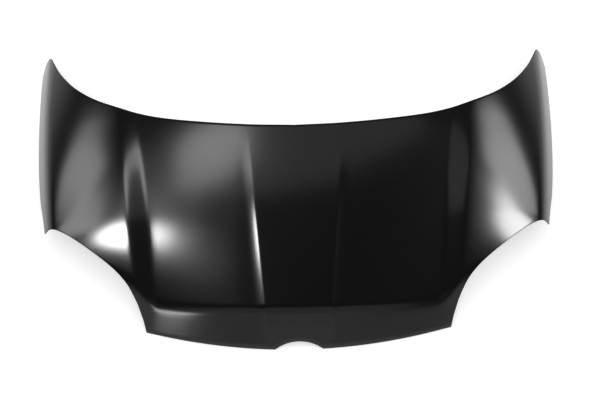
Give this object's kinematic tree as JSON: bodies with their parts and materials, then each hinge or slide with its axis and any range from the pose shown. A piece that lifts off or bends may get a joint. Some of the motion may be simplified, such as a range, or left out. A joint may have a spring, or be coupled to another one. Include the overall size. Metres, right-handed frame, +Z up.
{
  "type": "car bonnet",
  "caption": "Curved black steel car bonnet with lamp cut-outs, a front notch, fine creases, side walls and a hemmed inner frame.",
  "frame": {"origin": "on the ground under the middle of the bonnet's bounding box, as it rests on its nose and its two rear tips", "axes": "-Y towards the nose, +Y towards the windscreen, +Z up, +X to the right as seen from in front of the nose"},
  "size_m": [1.4632, 0.9016, 0.1972],
  "materials": {
    "coated_skin": "black dip coat, satin, smooth",
    "coated_frame": "black dip coat, satin, thinner inside",
    "coated_plate": "black dip coat on thicker plate",
    "plated_steel": "dull zinc plate",
    "mastic": "matt grey cured mastic"
  },
  "bodies": {
    "root": {"outer_skin": "coated_skin", "inner_frame": "coated_frame", "hinge_plate_left": "coated_plate", "hinge_plate_right": "coated_plate", "latch_plate": "coated_plate", "striker_plate": "coated_plate", "hinge_nut_left_1": "plated_steel", "hinge_nut_left_2": "plated_steel", "hinge_nut_right_1": "plated_steel", "hinge_nut_right_2": "plated_steel", "striker_loop": "plated_steel", "mastic_pad_1_1": "mastic", "mastic_pad_1_2": "mastic", "mastic_pad_1_3": "mastic", "mastic_pad_1_4": "mastic", "mastic_pad_1_5": "mastic", "mastic_pad_1_6": "mastic", "mastic_pad_2_1": "mastic", "mastic_pad_2_2": "mastic", "mastic_pad_2_3": "mastic", "mastic_pad_2_4": "mastic", "mastic_pad_3_1": "mastic", "mastic_pad_3_2": "mastic", "mastic_pad_3_3": "mastic", "mastic_pad_3_4": "mastic", "mastic_pad_4_1": "mastic", "mastic_pad_4_2": "mastic", "mastic_pad_4_3": "mastic", "mastic_pad_4_4": "mastic", "mastic_pad_5_1": "mastic", "mastic_pad_5_2": "mastic", "mastic_pad_5_3": "mastic", "mastic_pad_5_4": "mastic"}
  },
  "joints": []
}
